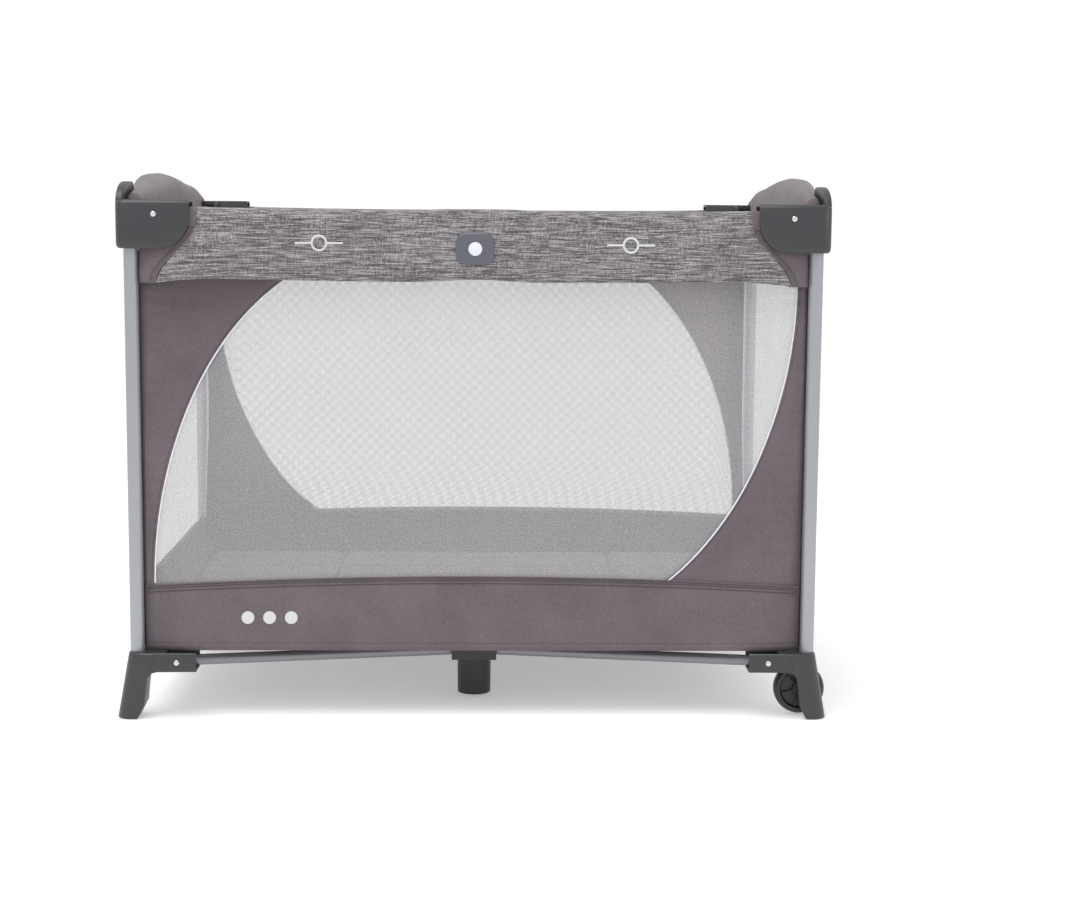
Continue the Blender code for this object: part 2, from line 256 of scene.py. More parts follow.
def softened(node, name, finish, body, radius, steps=2, outside=None):
    """A moulded piece: the CAD form, kept inside a rounded outside, with its edges softened."""
    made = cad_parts[node].copy()
    made.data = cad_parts[node].data.copy()
    made.name = name
    for key in list(made.keys()):
        del made[key]
    made.parent = None
    made.matrix_world = Matrix.Identity(4)
    stage_scene.collection.objects.link(made)
    weld = bmesh.new()
    weld.from_mesh(made.data)
    bmesh.ops.remove_doubles(weld, verts=weld.verts, dist=0.00001)
    bmesh.ops.dissolve_limit(weld, angle_limit=math.radians(1), verts=weld.verts, edges=weld.edges)
    weld.to_mesh(made.data)
    weld.free()
    if outside:
        cut = made.modifiers.new("cut", "BOOLEAN")
        cut.operation = "INTERSECT"
        cut.object = outside
    rounding = made.modifiers.new("rounding", "BEVEL")
    rounding.width = radius
    rounding.segments = steps
    rounding.limit_method = "ANGLE"
    rounding.angle_limit = math.radians(40)
    bpy.context.view_layer.update()
    seen = made.evaluated_get(bpy.context.evaluated_depsgraph_get())
    mesh = bpy.data.meshes.new_from_object(seen)
    made.modifiers.clear()
    made.data = mesh
    if outside:
        bpy.data.objects.remove(outside, do_unlink=True)
    mesh.materials.clear()
    mesh.materials.append(finish)
    mesh.shade_smooth()
    mesh.set_sharp_from_angle(angle=math.radians(38))
    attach(made, body)
    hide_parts(node)
    return made


def rivet(name, spot, facing, radius, body):
    """A domed rivet head that stands out of a face."""
    dome = [(0, radius)] + [(radius * 0.5 * math.sin(a), radius * math.cos(a))
                            for a in (0.3, 0.6, 0.9, 1.2)] + [(radius * 0.5, 0)]
    head = turned(name, spot, Vector(spot) + Vector(facing), dome, rivet_steel, 28)
    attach(head, body)
    return head


def loft(name, rings, flip):
    """A closed form through rings of equal count, from the lowest up."""
    work = bmesh.new()
    made = [[work.verts.new(spot) for spot in ring] for ring in rings]
    for low, high in zip(made, made[1:]):
        for i in range(len(low)):
            n = (i + 1) % len(low)
            work.faces.new((low[i], low[n], high[n], high[i]))
    work.faces.new(made[0])
    work.faces.new(made[-1])
    bmesh.ops.recalc_face_normals(work, faces=work.faces)
    work.transform(Matrix.Diagonal((flip[0], flip[1], 1, 1)))
    if flip[0] * flip[1] < 0:
        bmesh.ops.reverse_faces(work, faces=work.faces)
    return piece(name, work, dark_nylon)


def corner_ring(near, far, round_x, round_y, z, count=8):
    """A plan outline whose outer corner is a quarter ellipse."""
    ring = [(near[0], near[1], z), (far[0], near[1], z)]
    for i in range(count + 1):
        angle = math.pi / 2 * i / count
        ring.append((far[0] - round_x + round_x * math.cos(angle),
                     far[1] - round_y + round_y * math.sin(angle), z))
    return ring + [(near[0], far[1], z)]


def cap_outside(flip):
    """Rounded outer corner, chamfered along the top and bottom."""
    rings = [corner_ring((0.30, 0.10), (0.518 - inset, 0.367 - inset), 0.013, 0.013, z)
             for z, inset in ((0.694, 0.003), (0.697, 0.0006), (0.703, 0.0), (0.7585, 0.0),
                              (0.7622, 0.0018), (0.7640, 0.0048))]
    return loft("outside", rings, flip)


def foot_inner(z):
    """How far in the leg of a foot reaches, from a ridge on its arm down to the floor."""
    line = [(0.0, 0.4975), (0.0206, 0.4870), (0.046, 0.4845), (0.062, 0.4820), (0.0715, 0.4765),
            (0.12, 0.4660)]
    for (z0, x0), (z1, x1) in zip(line, line[1:]):
        if z <= z1:
            return x0 + (x1 - x0) * (z - z0) / (z1 - z0)
    return line[-1][1]


def foot_outside(flip):
    """A round fronted leg that splays outwards, proud of the flat arm beside it."""
    rings = []
    for z in (0.0, 0.0015, 0.0206, 0.035, 0.046, 0.062, 0.0715, 0.085, 0.0980, 0.0996):
        inset = 0.0016 if z in (0.0, 0.0996) else 0.0
        outer = 0.5285 - 0.018 * z / 0.0996 - inset
        inner, face = foot_inner(z), 0.367 - inset
        ring = corner_ring((0.38, 0.31), (outer, face), 0.019, 0.018, z)[:-1]
        for i in range(7):
            angle = math.pi / 2 * i / 6
            ring.append((inner + 0.006 - 0.006 * math.sin(angle),
                         face - 0.0018 + 0.0018 * math.cos(angle), z))
        rings.append(ring + [(0.38, face - 0.0018, z)])
    return loft("outside", rings, flip)


def moulding(name, outline, across, flip, body, radius=0.0018):
    """A moulded tab: an outline in Y and Z with a thickness along X and rounded edges."""
    rings = [[(x, y, z) for y, z in outline] for x in across]
    made = loft(name, rings, flip)
    rounding = made.modifiers.new("rounding", "BEVEL")
    rounding.width = radius
    rounding.segments = 3
    rounding.limit_method = "ANGLE"
    rounding.angle_limit = math.radians(40)
    made = settled(made)
    made.data.set_sharp_from_angle(angle=math.radians(38))
    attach(made, body)
    return made


def settled(made):
    """Apply a piece's modifiers."""
    bpy.context.view_layer.update()
    seen = made.evaluated_get(bpy.context.evaluated_depsgraph_get())
    mesh = bpy.data.meshes.new_from_object(seen)
    made.modifiers.clear()
    made.data = mesh
    mesh.shade_smooth()
    return made


def quarter(centre, reach, start, count=7):
    """A quarter ellipse in the YZ plane, as points."""
    turns = [math.radians(start + 90 * i / count) for i in range(count + 1)]
    return [(centre[0] + reach[0] * math.cos(a), centre[1] + reach[1] * math.sin(a))
            for a in turns]


CHEEK = ([(0.3545, 0.745)] + quarter((0.2950, 0.7600), (0.0595, 0.0305), 0)
         + quarter((0.2650, 0.7775), (0.0130, 0.0130), 90) + [(0.2520, 0.745)])
LEDGE = [(0.3245, 0.7560), (0.3245, 0.7638), (0.2600, 0.7638), (0.2600, 0.7560)]
CAP_RIVET = (0.462, 0.7435)
HOOD_RIVET = (0.300, 0.7605)
FOOT_RIVET = (0.439, 0.0850)
for end, side in CORNERS:
    corner = f"{end}_{side}"
    sx, sy = SIDE_SIGN[side], END_SIGN[end]
    low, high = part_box(f"cap_{corner}")
    cap_out = max(abs(low.y), abs(high.y))
    cap_side = max(abs(low.x), abs(high.x))
    softened(f"cap_{corner}", f"corner_cap_{corner}", dark_nylon, f"post_{corner}",
             0.0007, 2, cap_outside((sx, sy)))
    moulding(f"cap_cheek_{corner}", CHEEK, (0.5083, 0.5181), (sx, sy), f"post_{corner}")
    moulding(f"cap_ledge_{corner}", LEDGE, (0.4615, 0.4825), (sx, sy), f"post_{corner}", 0.001)
    softened(f"foot_{corner}", f"corner_foot_{corner}", dark_nylon, f"post_{corner}",
             0.0007, 2, foot_outside((sx, sy)))
    rivet(f"cap_rivet_{corner}", (CAP_RIVET[0] * sx, (cap_out - 0.0002) * sy, CAP_RIVET[1]),
          (0, sy, 0), 0.0043, f"post_{corner}")
    rivet(f"hood_rivet_{corner}", ((cap_side - 0.0002) * sx, HOOD_RIVET[0] * sy, HOOD_RIVET[1]),
          (sx, 0, 0), 0.0043, f"post_{corner}")
    rivet(f"foot_rivet_{corner}", (FOOT_RIVET[0] * sx, (cap_out - 0.0020) * sy, FOOT_RIVET[1]),
          (0, sy, 0), 0.0043, f"post_{corner}")

# ---------------------------------------------------------------- wheels
# Two hard black wheels turn on steel axles inside the right hand feet. Each has a smooth
# tread, a stepped face and six ribs round its hub.
for end in ("front", "back"):
    low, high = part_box(f"wheel_{end}")
    centre = (low + high) / 2
    across = (high.y - low.y) / 2
    rim = (high.z - low.z) / 2
    face = [(-across, 0.0046), (-across, 0.010), (-across * 0.45, 0.0115),
            (-across * 0.45, rim * 0.72), (-across, rim * 0.78), (-across, rim * 0.90),
            (-across * 0.7, rim * 0.985), (-across * 0.3, rim)]
    profile = face + [(-h, r) for h, r in reversed(face)] + [(-across, 0.0046)]
    wheel = turned(f"road_wheel_{end}", centre, centre + Vector((0, 1, 0)), profile, black_nylon, 64)
    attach(wheel, f"wheel_{end}")
    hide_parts(f"wheel_{end}")
    for i in range(6):
        angle = math.radians(60 * i + 15)
        out = Vector((math.cos(angle), 0, math.sin(angle)))
        work = bmesh.new()
        bmesh.ops.create_cube(work, size=1)
        work.transform(Matrix.Translation(centre + out * 0.0185)
                       @ Matrix.Rotation(-angle, 4, "Y")
                       @ Matrix.Diagonal((0.0175, across * 1.7, 0.0026, 1)))
        rib = piece(f"wheel_rib_{end}_{i}", work, black_nylon)
        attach(rib, f"wheel_{end}")
    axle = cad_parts[f"axle_{end}"]
    axle.data.materials.clear()
    axle.data.materials.append(rivet_steel)

# ---------------------------------------------------------------- floor frame and rails
# Steel tubes, 16 and 17 mm across, run from the feet to the side hubs and from the caps to
# the latch housings. The hubs, housings and squeeze buttons are moulded in the same nylon.
grey_tube = grained_finish("grey_tube", (0.22, 0.22, 0.235), 0.36, metallic=0.6, bump=0.05)
for end, side in CORNERS:
    corner = f"{end}_{side}"
    sx, sy = SIDE_SIGN[side], END_SIGN[end]
    low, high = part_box(f"floor_tube_{corner}")
    tube_r = (high.z - low.z) / 2
    outer = Vector((0.439 * sx, 0.340 * sy, (low.z + high.z) / 2))
    inner = Vector((0.012 * sx, 0.262 * sy, outer.z))
    along = (inner - outer).normalized()
    outer, inner = outer - along * 0.004, inner + along * 0.004
    span = (inner - outer).length
    tube = turned(f"floor_bar_{corner}", outer, inner,
                  [(0, 0), (0, tube_r), (span, tube_r), (span, 0)], grey_tube)
    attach(tube, f"floor_tube_{corner}")
    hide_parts(f"floor_tube_{corner}")
    for kind in ("long_rail", "end_rail"):
        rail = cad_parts[f"{kind}_{corner}"]
        rail.data.materials.clear()
        rail.data.materials.append(grey_tube)
for end in ("front", "back"):
    sy = END_SIGN[end]
    low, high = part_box(f"cross_tube_{end}")
    radius, level = (high.z - low.z) / 2, (high.z + low.z) / 2
    span = high.y - low.y
    bar = turned(f"cross_bar_{end}", (0, low.y, level), (0, high.y, level),
                 [(0, 0), (0, radius), (span, radius), (span, 0)], grey_tube)
    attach(bar, f"cross_tube_{end}")
    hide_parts(f"cross_tube_{end}")
    softened(f"side_hub_{end}", f"floor_hub_{end}", black_nylon, f"side_hub_{end}",
             0.0010)
softened("centre_hub", "lift_hub", dark_nylon, "centre_hub", 0.0008)
for wall in ("front", "back", "left", "right"):
    softened(f"rail_housing_{wall}", f"latch_housing_{wall}", dark_nylon,
             f"rail_housing_{wall}", 0.0006)
    softened(f"rail_button_{wall}", f"squeeze_button_{wall}", black_nylon,
             f"rail_button_{wall}", 0.0012)

# ---------------------------------------------------------------- fabric sides
# Each side is one sewn panel: taupe polyester round a net window, with a pale piping on the
# window's curved ends and a plain band along the bottom. The long sides have a leaf shaped
# window and the ends a straight one. All of it is held taut between the posts.
weave, weave_in, weave_out = node_group(
    "plain_weave",
    [("Colour", COLOUR, (0.5, 0.5, 0.5, 1)), ("Pitch", FLOAT, 0.0009), ("Contrast", FLOAT, 0.10)],
    [("Colour", COLOUR), ("Height", FLOAT)])
place = node_of(weave, "ShaderNodeTexCoord").outputs["Object"]
split = node_of(weave, "ShaderNodeSeparateXYZ", [(0, place)])
weft = node_of(weave, "ShaderNodeMath", [(0, split.outputs["X"]), (1, split.outputs["Y"])],
               operation="ADD")
lean = node_of(weave, "ShaderNodeMath", [(0, split.outputs["X"]), (1, split.outputs["Y"])],
               operation="SUBTRACT")
warp = node_of(weave, "ShaderNodeMath", [(0, lean.outputs[0]), (1, split.outputs["Z"])],
               operation="ADD")
turns = []
for direction in (weft, warp):
    per = node_of(weave, "ShaderNodeMath", [(0, direction.outputs[0]), (1, weave_in.outputs["Pitch"])],
                  operation="DIVIDE")
    phase = node_of(weave, "ShaderNodeMath", [(0, per.outputs[0]), (1, 2 * math.pi)],
                    operation="MULTIPLY")
    turns.append(node_of(weave, "ShaderNodeMath", [(0, phase.outputs[0])], operation="SINE"))
cross = node_of(weave, "ShaderNodeMath", [(0, turns[0].outputs[0]), (1, turns[1].outputs[0])],
                operation="MULTIPLY")
slub = node_of(weave, "ShaderNodeTexNoise", [("Vector", place), ("Scale", 260.0), ("Detail", 4.0)])
both = node_of(weave, "ShaderNodeMath", [(0, cross.outputs[0]), (1, 0.35), (2, slub.outputs["Fac"])],
               operation="MULTIPLY_ADD")
cloud = node_of(weave, "ShaderNodeTexNoise", [("Vector", place), ("Scale", 14.0), ("Detail", 3.0)])
mixed = node_of(weave, "ShaderNodeMath", [(0, slub.outputs["Fac"]), (1, cloud.outputs["Fac"])],
                operation="ADD")
centred = node_of(weave, "ShaderNodeMath", [(0, mixed.outputs[0]), (1, 1.0)], operation="SUBTRACT")
amount = node_of(weave, "ShaderNodeMath",
                 [(0, centred.outputs[0]), (1, weave_in.outputs["Contrast"]), (2, 1.0)],
                 operation="MULTIPLY_ADD")
shade = node_of(weave, "ShaderNodeVectorMath",
                [(0, weave_in.outputs["Colour"]), ("Scale", amount.outputs[0])], operation="SCALE")
weave.links.new(shade.outputs[0], weave_out.inputs["Colour"])
weave.links.new(both.outputs[0], weave_out.inputs["Height"])


def woven_finish(name, colour, pitch=0.0009, contrast=0.5, sheen=0.15, bump=0.25):
    """A plain woven cloth."""
    finish = bpy.data.materials.new(name)
    finish.use_nodes = True
    tree = finish.node_tree
    shader = tree.nodes["Principled BSDF"]
    cloth = tree.nodes.new("ShaderNodeGroup")
    cloth.node_tree = weave
    cloth.inputs["Colour"].default_value = (*colour, 1)
    cloth.inputs["Pitch"].default_value = pitch
    cloth.inputs["Contrast"].default_value = contrast
    relief = node_of(tree, "ShaderNodeBump", [("Strength", bump), ("Distance", 0.0004),
                                              ("Height", cloth.outputs["Height"])])
    tree.links.new(cloth.outputs["Colour"], shader.inputs["Base Color"])
    tree.links.new(relief.outputs["Normal"], shader.inputs["Normal"])
    shader.inputs["Roughness"].default_value = 0.82
    shader.inputs["Sheen Weight"].default_value = sheen
    shader.inputs["Specular IOR Level"].default_value = 0.3
    return finish


def net_finish(name, colour, pitch=0.0026, hole=0.475):
    """Warp knitted net: pale threads round small diamond set holes."""
    finish = bpy.data.materials.new(name)
    finish.use_nodes = True
    tree = finish.node_tree
    shader = tree.nodes["Principled BSDF"]
    spot = node_of(tree, "ShaderNodeTexCoord").outputs["Object"]
    axes = node_of(tree, "ShaderNodeSeparateXYZ", [(0, spot)])
    level = node_of(tree, "ShaderNodeMath", [(0, axes.outputs["X"]), (1, axes.outputs["Y"])],
                    operation="ADD")
    ahead = node_of(tree, "ShaderNodeMath", [(0, level.outputs[0]), (1, axes.outputs["Z"])],
                    operation="ADD")
    behind = node_of(tree, "ShaderNodeMath", [(0, level.outputs[0]), (1, axes.outputs["Z"])],
                     operation="SUBTRACT")
    cell = node_of(tree, "ShaderNodeCombineXYZ",
                   [("X", ahead.outputs[0]), ("Y", behind.outputs[0])])
    holes = node_of(tree, "ShaderNodeTexVoronoi",
                    [("Vector", cell.outputs[0]), ("Scale", 1 / (pitch * math.sqrt(2))),
                     ("Randomness", 0.0)], voronoi_dimensions="2D")
    thread = node_of(tree, "ShaderNodeMapRange",
                     [("Value", holes.outputs["Distance"]), ("From Min", hole - 0.06),
                      ("From Max", hole + 0.06), ("To Min", 0.10), ("To Max", 0.75)])
    relief = node_of(tree, "ShaderNodeBump", [("Strength", 0.4), ("Distance", 0.0005),
                                              ("Height", thread.outputs["Result"])])
    tree.links.new(thread.outputs["Result"], shader.inputs["Alpha"])
    tree.links.new(relief.outputs["Normal"], shader.inputs["Normal"])
    shader.inputs["Base Color"].default_value = (*colour, 1)
    shader.inputs["Roughness"].default_value = 0.8
    return finish


taupe_cloth = woven_finish("taupe_cloth", (0.129, 0.105, 0.119))
seam_cloth = woven_finish("seam_cloth", (0.060, 0.050, 0.056), contrast=0.3)
piping_cloth = woven_finish("piping_cloth", (0.72, 0.72, 0.76), contrast=0.1, bump=0.1)
pale_net = net_finish("pale_net", (0.56, 0.555, 0.57))


def cloth_grid(name, rows, finish, thickness=0.0012):
    """A sheet through a grid of points, given some thickness."""
    work = bmesh.new()
    grid = [[work.verts.new(spot) for spot in row] for row in rows]
    for low, high in zip(grid, grid[1:]):
        for i in range(len(low) - 1):
            work.faces.new((low[i], low[i + 1], high[i + 1], high[i]))
    made = piece(name, work, finish)
    solid = made.modifiers.new("thickness", "SOLIDIFY")
    solid.thickness = thickness
    solid.offset = 0
    return settled(made)


def cording(name, route, radius, finish, closed=False):
    """A sewn cord, piping or binding along a route."""
    curve = bpy.data.curves.new(name, "CURVE")
    curve.dimensions = "3D"
    curve.bevel_depth = radius
    curve.bevel_resolution = 2
    curve.use_fill_caps = True
    spline = curve.splines.new("POLY")
    spline.points.add(len(route) - 1)
    spline.use_cyclic_u = closed
    for point, spot in zip(spline.points, route):
        point.co = (*spot, 1)
    guide = bpy.data.objects.new(name + "_guide", curve)
    stage_scene.collection.objects.link(guide)
    bpy.context.view_layer.update()
    mesh = bpy.data.meshes.new_from_object(
        guide.evaluated_get(bpy.context.evaluated_depsgraph_get()))
    bpy.data.objects.remove(guide, do_unlink=True)
    made = bpy.data.objects.new(name, mesh)
    stage_scene.collection.objects.link(made)
    mesh.materials.clear()
    mesh.materials.append(finish)
    mesh.shade_smooth()
    return made


PANEL_X = 0.4862  # half the width of a long side's panel
PANEL_Y = 0.3330
BAND_LOW = 0.1012
BAND_TOP = 0.197
BAND_RISE = 0.014
PANEL_TOP = 0.690
WINDOW_EDGE = 0.4725
WINDOW_SWEEP = 0.345
WINDOW_REACH = 0.50
WINDOW_LOW, WINDOW_HIGH = 0.200, 0.646
END_BORDER = 0.045
LONG_FOOT, LONG_LEAN, LONG_RISE = 0.3480, 0.0218, 0.20  # a long side low down, and its lean inwards
LONG_CORNER, LONG_CORNER_FROM = 0.3385, 0.430
END_FOOT, END_LEAN, END_RISE = 0.4915, 0.0112, 0.30
END_CORNER, END_CORNER_FROM = 0.4900, 0.285
FOLD_ANGLE = math.radians(75)
TUBE_REACH_X, TUBE_REACH_Y = 0.427, 0.270  # how far a tube spans from its post to the middle

shrink_x = TUBE_REACH_X * (1 - math.cos(FOLD_ANGLE)) / PANEL_X
shrink_y = TUBE_REACH_Y * (1 - math.cos(FOLD_ANGLE)) / PANEL_Y
WALLS = {
    "front": ("post_front_left", (1, 0, 0), (-PANEL_X, 0, 0), 1 - shrink_x),
    "back": ("post_back_left", (1, 0, 0), (-PANEL_X, 0, 0), 1 - shrink_x),
    "left": ("post_front_left", (0, 1, 0), (0, -PANEL_Y, 0), 1 - shrink_y),
    "right": ("post_front_right", (0, 1, 0), (0, -PANEL_Y, 0), 1 - shrink_y),
}


def hung_on(made, wall):
    """The panel is fixed to one post and moves with it."""
    body, axis, anchor, keep = WALLS[wall]
    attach(made, body)
    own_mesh(made)
    return made


def band_line(u):
    """Top of the bottom band, which rises in the middle. u runs from -1 to 1."""
    return BAND_TOP + BAND_RISE * (1 - u * u)


def pull(spot, depth):
    """Slow unevenness of stretched cloth."""
    return depth * noise.noise(Vector(spot) * 7.0)


def smooth(share):
    """Goes gently from 0 to 1."""
    share = min(max(share, 0), 1)
    return share * share * (3 - 2 * share)


def puckers(along, from_seam, depth):
    """Short gathers that run out from a seam and die away."""
    slant = along + 0.12 * from_seam
    beat = math.sin(slant * 2 * math.pi / 0.021 + 4 * noise.noise(Vector((slant * 16, 0, 0))))
    strength = 0.6 + 0.8 * noise.noise(Vector((along * 9, 4, 0)))
    return depth * beat * strength * (math.exp(-from_seam / 0.032) - math.exp(-from_seam / 0.006))


def long_face(x, z, out=0.0):
    """A point on the front panel: it slants inwards, so the folding rail passes outside it."""
    rise = smooth((z - BAND_LOW) / LONG_RISE)
    corner = smooth((abs(x) - LONG_CORNER_FROM) / (PANEL_X - LONG_CORNER_FROM))
    depth = LONG_FOOT - LONG_LEAN * rise
    depth += (LONG_CORNER - depth) * corner
    depth += puckers(z, PANEL_X - abs(x), 0.0018) + pull((x, 0.3, z), 0.0010)
    return Vector((x, -(depth + out), z))


def end_face(y, z, out=0.0):
    """A point on the right end panel."""
    rise = smooth((z - BAND_LOW) / END_RISE)
    corner = smooth((abs(y) - END_CORNER_FROM) / (PANEL_Y - END_CORNER_FROM))
    depth = END_FOOT - END_LEAN * rise
    depth += (END_CORNER - depth) * corner + puckers(z, PANEL_Y - abs(y), 0.0014)
    return Vector((depth + out + pull((0.4, y, z), 0.0010), y, z))


def window_left(z):
    reach = min(max((z - WINDOW_LOW) / WINDOW_REACH, 0), 1)
    return -WINDOW_EDGE + WINDOW_SWEEP * (1 - math.sqrt(1 - reach * reach))


def window_right(z):
    return -window_left(WINDOW_LOW + WINDOW_HIGH - z)


def steps(low, high, count):
    return [low + (high - low) * i / count for i in range(count + 1)]


def long_side(wall):
    """Front or back: the back is the front turned half round."""
    half = 1 if wall == "front" else -1

    def at(x, z, out=0.0):
        spot = long_face(x, z, out)
        return (spot.x * half, spot.y * half, spot.z)

    heights = steps(0.0, 1.0, 130)

    def patch(name, left, right, columns, finish, out, thickness):
        rows = []
        for t in heights:
            row = []
            for i in range(columns + 1):
                guess = BAND_TOP + (PANEL_TOP - BAND_TOP) * t
                x = left(guess) + (right(guess) - left(guess)) * i / columns
                z = band_line(x / PANEL_X) - 0.006
                z += (PANEL_TOP - z) * t
                row.append(at(x, z, out))
            rows.append(row)
        made = cloth_grid(name, rows, finish, thickness)
        area = sum(face.area for face in made.data.polygons) / 2
        hung_on(made, wall)
        return made, area

    net, net_area = patch(f"window_net_{wall}", window_left, window_right, 60, pale_net,
                          -0.0012, 0.0006)
    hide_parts(f"wall_{wall}")
    outer_left, left_area = patch(f"side_panel_{wall}_a", lambda z: -PANEL_X, window_left, 10,
                                  taupe_cloth, 0.0, 0.0014)
    outer_right, right_area = patch(f"side_panel_{wall}_b", window_right, lambda z: PANEL_X, 10,
                                    taupe_cloth, 0.0, 0.0014)
    tape = [at(x, PANEL_TOP, 0.0) for x in steps(-0.484, 0.484, 60)]
    hung_on(cording(f"top_tape_{wall}", tape, 0.0013, taupe_cloth), wall)
    for label, edge in (("a", window_left), ("b", window_right)):
        route = [at(edge(z), z, 0.0004) for z in steps(BAND_TOP + 0.003, WINDOW_HIGH + 0.006, 60)]
        hung_on(cording(f"window_piping_{wall}_{label}", route, 0.0013, piping_cloth), wall)
        inner = 0.0045 if label == "a" else -0.0045
        route = [at(edge(z) - inner, z, 0.0007) for z in steps(BAND_TOP + 0.01, WINDOW_HIGH, 60)]
        hung_on(cording(f"window_stitch_{wall}_{label}", route, 0.00035, seam_cloth), wall)
    rows = [[at(x, BAND_LOW + (band_line(x / PANEL_X) - BAND_LOW) * t, 0.0022 - 0.001 * t * t)
             for x in steps(-PANEL_X, PANEL_X, 70)] for t in steps(0, 1, 14)]
    band = cloth_grid(f"bottom_band_{wall}", rows, taupe_cloth, 0.0018)
    hung_on(band, wall)
    for label, drop in (("top", 0.0008), ("upper", 0.0055), ("lower", 0.0105)):
        route = [at(x, band_line(x / PANEL_X) - drop, 0.0028) for x in steps(-0.484, 0.484, 70)]
        thick = 0.0010 if label == "top" else 0.0004
        cloth = taupe_cloth if label == "top" else seam_cloth
        hung_on(cording(f"band_seam_{wall}_{label}", route, thick, cloth), wall)
    route = [at(x, BAND_LOW + 0.011, 0.0028) for x in steps(-0.484, 0.484, 70)]
    hung_on(cording(f"hem_stitch_{wall}", route, 0.0004, seam_cloth), wall)
    for label, x in (("a", -PANEL_X), ("b", PANEL_X)):
        route = [at(x, z, -0.0005) for z in steps(BAND_LOW, 0.69, 40)]
        hung_on(cording(f"corner_seam_{wall}_{label}", route, 0.0022, seam_cloth), wall)


def short_side(wall):
    """Left or right end: the left is the right turned half round."""
    half = 1 if wall == "right" else -1

    def at(y, z, out=0.0):
        spot = end_face(y, z, out)
        return (spot.x * half, spot.y * half, spot.z)

    inner = PANEL_Y - END_BORDER
    patches = [("window_net", -inner, inner, 40, pale_net, 0.0006),
               ("side_panel_a", -PANEL_Y, -inner, 6, taupe_cloth, 0.0014),
               ("side_panel_b", inner, PANEL_Y, 6, taupe_cloth, 0.0014)]
    for kind, left, right, columns, finish, thickness in patches:
        rows = [[at(y, BAND_TOP + (PANEL_TOP - BAND_TOP) * t) for y in steps(left, right, columns)]
                for t in steps(0, 1, 120)]
        made = cloth_grid(f"{kind}_{wall}", rows, finish, thickness)
        hung_on(made, wall)
        if kind == "window_net":
            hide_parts(f"wall_{wall}")
    rows = [[at(y, BAND_LOW + (BAND_TOP + 0.006 - BAND_LOW) * t, 0.0022)
             for y in steps(-PANEL_Y, PANEL_Y, 50)] for t in steps(0, 1, 12)]
    band = cloth_grid(f"bottom_band_{wall}", rows, taupe_cloth, 0.0018)
    hung_on(band, wall)
    for label, z, out in (("top", BAND_TOP + 0.004, 0.0030), ("lower", BAND_TOP - 0.002, 0.0030),
                          ("hem", BAND_LOW + 0.011, 0.0030)):
        route = [at(y, z, out) for y in steps(-0.331, 0.331, 50)]
        hung_on(cording(f"band_seam_{wall}_{label}", route, 0.0004, seam_cloth), wall)
    tape = [at(y, PANEL_TOP, 0.0) for y in steps(-0.331, 0.331, 40)]
    hung_on(cording(f"top_tape_{wall}", tape, 0.0013, taupe_cloth), wall)
    for label, y in (("a", -inner), ("b", inner)):
        route = [at(y, z, 0.0004) for z in steps(BAND_TOP, PANEL_TOP, 30)]
        hung_on(cording(f"window_piping_{wall}_{label}", route, 0.0013, piping_cloth), wall)


for wall in ("front", "back"):
    long_side(wall)
for wall in ("left", "right"):
    short_side(wall)
for end, side in CORNERS:
    sx, sy = SIDE_SIGN[side], END_SIGN[end]
    turn_in = [(0.4835, 0.3370), (0.4866, 0.3355), (0.4880, 0.3338), (0.4890, 0.3310),
               (0.4890, 0.3275), (0.4930, 0.3265)]
    rows = [[(x * sx, y * sy, z) for x, y in turn_in] for z in steps(BAND_LOW, PANEL_TOP, 20)]
    strip = cloth_grid(f"corner_strip_{end}_{side}", rows, taupe_cloth, 0.0012)
    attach(strip, f"post_{end}_{side}")

# ---------------------------------------------------------------- long rail covers
# The long rails are wrapped in a thick grey melange weave, sewn as a sleeve over the tube
# with a deep front skirt. Taupe gussets join its curved ends to the posts.
melange = bpy.data.materials.new("grey_melange")
melange.use_nodes = True
tree = melange.node_tree
shader = tree.nodes["Principled BSDF"]
spot = node_of(tree, "ShaderNodeTexCoord").outputs["Object"]


def streaks(size, detail):
    scaled = node_of(tree, "ShaderNodeVectorMath", [(0, spot), (1, size)], operation="MULTIPLY")
    return node_of(tree, "ShaderNodeTexNoise", [("Vector", scaled.outputs[0]), ("Scale", 1.0),
                                                ("Detail", detail)]).outputs["Fac"]


picks = streaks((42.0, 90.0, 820.0), 2.0)
ends = streaks((900.0, 900.0, 90.0), 2.0)
flecks = streaks((700.0, 700.0, 900.0), 1.0)
first = node_of(tree, "ShaderNodeMath", [(0, picks), (1, 0.48), (2, 0.0)], operation="MULTIPLY_ADD")
second = node_of(tree, "ShaderNodeMath", [(0, ends), (1, 0.20), (2, first.outputs[0])],
                 operation="MULTIPLY_ADD")
third = node_of(tree, "ShaderNodeMath", [(0, flecks), (1, 0.32), (2, second.outputs[0])],
                operation="MULTIPLY_ADD")
tones = node_of(tree, "ShaderNodeValToRGB", [("Fac", third.outputs[0])])
tones.color_ramp.elements[0].position = 0.40
tones.color_ramp.elements[0].color = (0.048, 0.042, 0.046, 1)
tones.color_ramp.elements[1].position = 0.60
tones.color_ramp.elements[1].color = (0.375, 0.36, 0.375, 1)
middle_tone = tones.color_ramp.elements.new(0.50)
middle_tone.color = (0.150, 0.137, 0.146, 1)
relief = node_of(tree, "ShaderNodeBump", [("Strength", 0.5), ("Distance", 0.0006),
                                          ("Height", third.outputs[0])])
tree.links.new(tones.outputs["Color"], shader.inputs["Base Color"])
tree.links.new(relief.outputs["Normal"], shader.inputs["Normal"])
shader.inputs["Roughness"].default_value = 0.9
shader.inputs["Sheen Weight"].default_value = 0.2

COVER_FACE = 0.3600
COVER_BACK = 0.3302
COVER_END = 0.402
GUSSET_DEPTH = 0.058
SKIRT_TOP = 0.735
SKIRT_LOW = 0.6465


